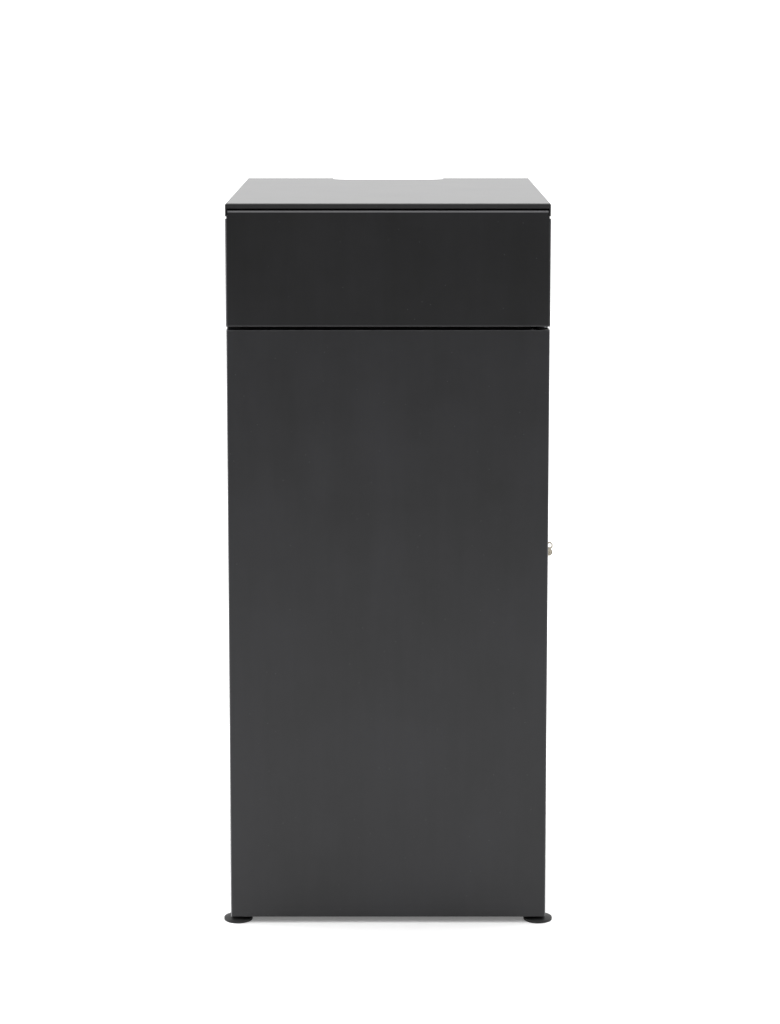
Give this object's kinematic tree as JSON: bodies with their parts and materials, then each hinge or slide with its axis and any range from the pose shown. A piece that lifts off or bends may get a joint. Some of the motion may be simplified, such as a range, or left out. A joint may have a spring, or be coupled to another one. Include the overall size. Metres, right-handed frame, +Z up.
{
  "type": "book drop box",
  "caption": "Free-standing sheet-metal book return cabinet with a top-hung flap, side door with cam lock, lifting platform and levelling feet.",
  "frame": {"origin": "on the floor, under the middle of the cabinet", "axes": "+X to the right seen from the front, +Y to the back, +Z up"},
  "size_m": [0.4982, 0.607, 1.03],
  "materials": {
    "powder_coat": "anthracite satin powder coat",
    "inner_coat": "dark inner powder coat",
    "zinc_steel": "zinc plated",
    "bright_steel": "ground bright",
    "nickel": "nickel plated",
    "key_brass": "nickel plated brass, worn",
    "nylon": "natural nylon",
    "rubber": "moulded rubber",
    "glide_plastic": "black moulded plastic"
  },
  "bodies": {
    "cabinet": {"base_tray": "powder_coat", "cap": "powder_coat", "cap_nuts": "zinc_steel", "cap_studs": "zinc_steel", "chute_rivets": "zinc_steel", "door_buffers": "rubber", "door_pivot_bushes": "nylon", "door_sill": "powder_coat", "entry_chute": "inner_coat", "flap_brackets": "zinc_steel", "flap_bumpers": "rubber", "foot_nuts": "zinc_steel", "front_panel": "powder_coat", "front_right_stile": "powder_coat", "guide_rods": "bright_steel", "jamb_rivets": "zinc_steel", "left_side_panel": "powder_coat", "lift_springs": "bright_steel", "rear_panel": "powder_coat", "rear_right_stile": "powder_coat", "rod_clamps": "zinc_steel", "slot_jambs": "inner_coat", "slot_lintel": "inner_coat", "slot_sill": "inner_coat", "spring_anchors": "zinc_steel", "stop_rings": "rubber", "strike_plate": "zinc_steel", "top_frame": "inner_coat", "upper_right_panel": "powder_coat"},
    "flap": {"flap": "powder_coat", "flap_ears": "zinc_steel", "flap_hinge_pins": "zinc_steel", "flap_stiffener": "inner_coat"},
    "side_door": {"door_panel": "powder_coat", "door_stiffeners": "inner_coat", "door_pivot_pins": "zinc_steel", "lock_housing": "nickel", "lock_nut": "zinc_steel"},
    "lock": {"lock_plug": "nickel", "lock_cam": "zinc_steel", "cam_screw": "zinc_steel", "key": "key_brass"},
    "platform": {"platform_deck": "inner_coat", "platform_mat": "rubber", "platform_beams": "inner_coat", "slider_bushes": "nylon", "bush_carriers": "zinc_steel", "spring_hooks": "zinc_steel"},
    "foot_front_left": {"foot_pad_front_left": "glide_plastic", "foot_stem_front_left": "zinc_steel"},
    "foot_front_right": {"foot_pad_front_right": "glide_plastic", "foot_stem_front_right": "zinc_steel"},
    "foot_rear_left": {"foot_pad_rear_left": "glide_plastic", "foot_stem_rear_left": "zinc_steel"},
    "foot_rear_right": {"foot_pad_rear_right": "glide_plastic", "foot_stem_rear_right": "zinc_steel"}
  },
  "joints": [
    {"name": "flap_hinge", "type": "hinge", "parent": "cabinet", "child": "flap", "pos_m": [0, -0.2945, 1.016], "axis": [-1, 0, 0], "range_deg": [0, 80]},
    {"name": "door_hinge", "type": "hinge", "parent": "cabinet", "child": "side_door", "pos_m": [0.217, -0.27, 0.449], "axis": [0, 0, -1], "range_deg": [0, 110]},
    {"name": "lock_turn", "type": "hinge", "parent": "side_door", "child": "lock", "pos_m": [0.225, 0.208, 0.444], "axis": [-1, 0, 0], "range_deg": [0, 90]},
    {"name": "platform_travel", "type": "slide", "parent": "cabinet", "child": "platform", "axis": [0, 0, -1], "range_m": [0, 0.4], "stiffness_N_per_m": 1350, "springref_m": -0.075, "deforming": ["lift_springs"]},
    {"name": "foot_front_left_height", "type": "slide", "parent": "cabinet", "child": "foot_front_left", "axis": [0, 0, -1], "range_m": [0, 0.008]},
    {"name": "foot_front_right_height", "type": "slide", "parent": "cabinet", "child": "foot_front_right", "axis": [0, 0, -1], "range_m": [0, 0.008]},
    {"name": "foot_rear_left_height", "type": "slide", "parent": "cabinet", "child": "foot_rear_left", "axis": [0, 0, -1], "range_m": [0, 0.008]},
    {"name": "foot_rear_right_height", "type": "slide", "parent": "cabinet", "child": "foot_rear_right", "axis": [0, 0, -1], "range_m": [0, 0.008]}
  ]
}
